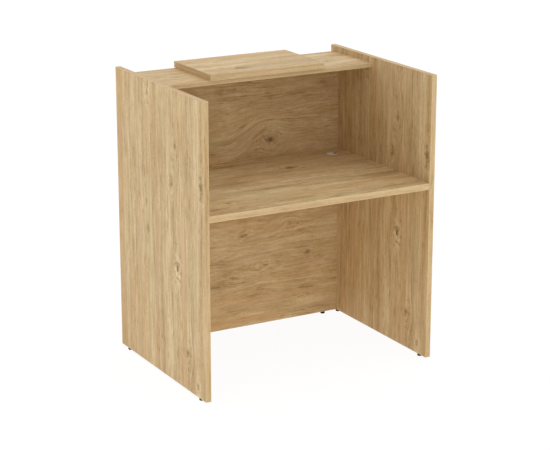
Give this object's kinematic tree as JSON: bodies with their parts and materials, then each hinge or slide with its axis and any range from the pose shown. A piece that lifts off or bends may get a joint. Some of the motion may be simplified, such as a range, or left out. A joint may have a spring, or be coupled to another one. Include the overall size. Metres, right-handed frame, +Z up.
{
  "type": "reception desk",
  "caption": "Free-standing reception desk with tall side panels, full-height back panel, worktop, raised counter shelf, cable grommet and levelling feet.",
  "frame": {"origin": "on the floor, in the middle of the desk's footprint, with the levelling feet screwed fully home", "axes": "+Z up; +X to the clerk's right; the clerk sits at the -Y side and the visitor stands at the +Y side"},
  "size_m": [1, 0.744, 1.15],
  "materials": {
    "oak_board": "light natural oak decor on chipboard, satin, fine pores along the grain",
    "oak_edge_band": "oak-printed plastic edge band, 2 mm, satin",
    "foot_plastic": "black moulded plastic with a fine texture",
    "socket_steel": "zinc-plated steel",
    "cam_zinc": "die-cast zinc, dull",
    "fastener_steel": "zinc-plated steel",
    "dowel_beech": "plain fluted beech",
    "grommet_plastic": "silver-grey moulded plastic, satin"
  },
  "bodies": {
    "desk": {"left_side_panel": "oak_board", "left_side_panel_front_band": "oak_edge_band", "left_side_panel_rear_band": "oak_edge_band", "left_side_panel_top_band": "oak_edge_band", "right_side_panel": "oak_board", "right_side_panel_front_band": "oak_edge_band", "right_side_panel_rear_band": "oak_edge_band", "right_side_panel_top_band": "oak_edge_band", "back_panel": "oak_board", "worktop": "oak_board", "worktop_front_band": "oak_edge_band", "counter_shelf": "oak_board", "counter_shelf_front_band": "oak_edge_band", "counter_shelf_rear_band": "oak_edge_band", "riser_shelf": "oak_board", "riser_shelf_front_band": "oak_edge_band", "riser_shelf_rear_band": "oak_edge_band", "riser_shelf_left_band": "oak_edge_band", "riser_shelf_right_band": "oak_edge_band", "foot_socket_left_front": "socket_steel", "foot_socket_left_rear": "socket_steel", "foot_socket_right_front": "socket_steel", "foot_socket_right_rear": "socket_steel", "foot_socket_back_left": "socket_steel", "foot_socket_back_right": "socket_steel", "cam_worktop_left_front": "cam_zinc", "cam_worktop_left_rear": "cam_zinc", "cam_worktop_right_front": "cam_zinc", "cam_worktop_right_rear": "cam_zinc", "cam_worktop_back_left": "cam_zinc", "cam_worktop_back_right": "cam_zinc", "cam_counter_shelf_left_front": "cam_zinc", "cam_counter_shelf_left_rear": "cam_zinc", "cam_counter_shelf_right_front": "cam_zinc", "cam_counter_shelf_right_rear": "cam_zinc", "cam_bolt_worktop_left_front": "fastener_steel", "cam_bolt_worktop_left_rear": "fastener_steel", "cam_bolt_worktop_right_front": "fastener_steel", "cam_bolt_worktop_right_rear": "fastener_steel", "cam_bolt_worktop_back_left": "fastener_steel", "cam_bolt_worktop_back_right": "fastener_steel", "cam_bolt_counter_shelf_left_front": "fastener_steel", "cam_bolt_counter_shelf_left_rear": "fastener_steel", "cam_bolt_counter_shelf_right_front": "fastener_steel", "cam_bolt_counter_shelf_right_rear": "fastener_steel", "dowel_left_low": "dowel_beech", "dowel_left_high": "dowel_beech", "dowel_right_low": "dowel_beech", "dowel_right_high": "dowel_beech", "riser_screw_left": "fastener_steel", "riser_screw_right": "fastener_steel", "grommet_liner": "grommet_plastic"},
    "foot_left_front": {"foot_left_front": "foot_plastic"},
    "foot_left_rear": {"foot_left_rear": "foot_plastic"},
    "foot_right_front": {"foot_right_front": "foot_plastic"},
    "foot_right_rear": {"foot_right_rear": "foot_plastic"},
    "foot_back_left": {"foot_back_left": "foot_plastic"},
    "foot_back_right": {"foot_back_right": "foot_plastic"},
    "grommet_cap": {"grommet_cap": "grommet_plastic"},
    "grommet_shutter": {"grommet_shutter": "grommet_plastic"}
  },
  "joints": [
    {"name": "foot_left_front_screw", "type": "slide", "parent": "desk", "child": "foot_left_front", "axis": [0, 0, -1], "range_m": [0, 0.01]},
    {"name": "foot_left_rear_screw", "type": "slide", "parent": "desk", "child": "foot_left_rear", "axis": [0, 0, -1], "range_m": [0, 0.01]},
    {"name": "foot_right_front_screw", "type": "slide", "parent": "desk", "child": "foot_right_front", "axis": [0, 0, -1], "range_m": [0, 0.01]},
    {"name": "foot_right_rear_screw", "type": "slide", "parent": "desk", "child": "foot_right_rear", "axis": [0, 0, -1], "range_m": [0, 0.01]},
    {"name": "foot_back_left_screw", "type": "slide", "parent": "desk", "child": "foot_back_left", "axis": [0, 0, -1], "range_m": [0, 0.01]},
    {"name": "foot_back_right_screw", "type": "slide", "parent": "desk", "child": "foot_back_right", "axis": [0, 0, -1], "range_m": [0, 0.01]},
    {"name": "grommet_cap_lift", "type": "slide", "parent": "desk", "child": "grommet_cap", "axis": [0, 0, 1], "range_m": [0, 0.03]},
    {"name": "grommet_shutter_turn", "type": "hinge", "parent": "grommet_cap", "child": "grommet_shutter", "pos_m": [0.393, 0.218, 0.725], "axis": [0, 0, 1], "range_deg": [0, 180]}
  ]
}
